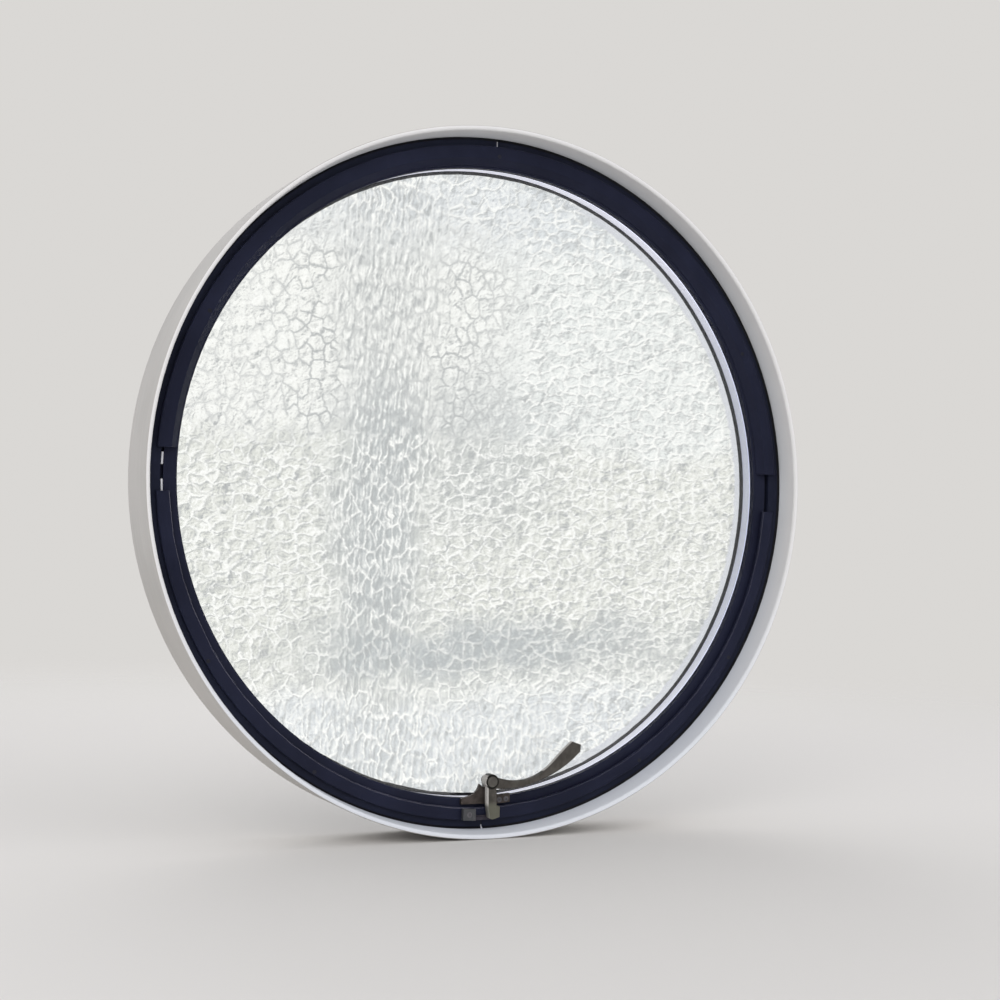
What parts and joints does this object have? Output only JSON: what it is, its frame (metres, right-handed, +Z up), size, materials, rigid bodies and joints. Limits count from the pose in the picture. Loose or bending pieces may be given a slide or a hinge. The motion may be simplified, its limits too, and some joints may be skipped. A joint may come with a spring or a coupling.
{
  "type": "ventilation window",
  "caption": "Round centre-pivot ventilation window: white lining ring, dark frame and sash, patterned sealed glass and a cockspur latch.",
  "frame": {"origin": "centre of the ring, on the pivot axis", "axes": "+X along the two pivots, to the right seen from the room; +Y outdoors; +Z up"},
  "size_m": [0.6628, 0.0705, 0.6628],
  "materials": {
    "liner_white": "satin white lining",
    "sealant": "black silicone fillet",
    "frame_paint": "navy-black powder coat",
    "sash_paint": "navy-black powder coat",
    "seal_rubber": "matt black",
    "bright_aluminium": "mill finish",
    "spacer_aluminium": "satin anodised",
    "butyl": "black butyl and sealant",
    "clear_glass": "clear float",
    "patterned_glass": "hammered cathedral pattern",
    "black_nylon": "moulded",
    "latch_bronze": "dark bronze, worn",
    "pin_bronze": "dark bronze",
    "zinc_steel": "zinc plated",
    "dark_steel": "painted head"
  },
  "bodies": {
    "frame": {"wall_liner": "liner_white", "perimeter_sealant": "sealant", "frame_half_left": "frame_paint", "frame_half_right": "frame_paint", "joint_key_top": "bright_aluminium", "joint_key_bottom": "bright_aluminium", "joint_screws": "zinc_steel", "frame_fixing_screws": "zinc_steel", "inner_stop": "frame_paint", "outer_stop": "frame_paint", "stop_screws": "dark_steel", "inner_stop_seal": "seal_rubber", "outer_stop_seal": "seal_rubber", "pivot_stud_left": "zinc_steel", "pivot_stud_right": "zinc_steel", "pivot_blocks": "bright_aluminium", "keeper": "latch_bronze", "keeper_screws": "pin_bronze"},
    "sash": {"flange_screws": "dark_steel", "sash_ring": "sash_paint", "inner_flange": "sash_paint", "outer_flange": "sash_paint", "glazing_bead": "sash_paint", "inner_flange_seal": "seal_rubber", "outer_flange_seal": "seal_rubber", "inner_gasket": "seal_rubber", "outer_gasket": "seal_rubber", "inner_pane": "clear_glass", "patterned_pane": "patterned_glass", "spacer_bar": "spacer_aluminium", "edge_seal": "butyl", "setting_blocks": "black_nylon", "pivot_bush_left": "black_nylon", "pivot_bush_right": "black_nylon", "pivot_plate_left": "bright_aluminium", "pivot_plate_right": "bright_aluminium", "pivot_plate_screws": "zinc_steel", "handle_bracket": "latch_bronze", "handle_pin": "pin_bronze", "wave_washer": "zinc_steel", "bracket_screws": "pin_bronze"},
    "handle": {"handle_lever": "latch_bronze"}
  },
  "joints": [
    {"name": "sash_pivot", "type": "hinge", "parent": "frame", "child": "sash", "pos_m": [0, 0, 0], "axis": [1, 0, 0], "range_deg": [0, 90]},
    {"name": "handle_turn", "type": "hinge", "parent": "sash", "child": "handle", "pos_m": [0.0045, -0.022, -0.2804], "axis": [0, -1, 0], "range_deg": [0, 90]}
  ]
}
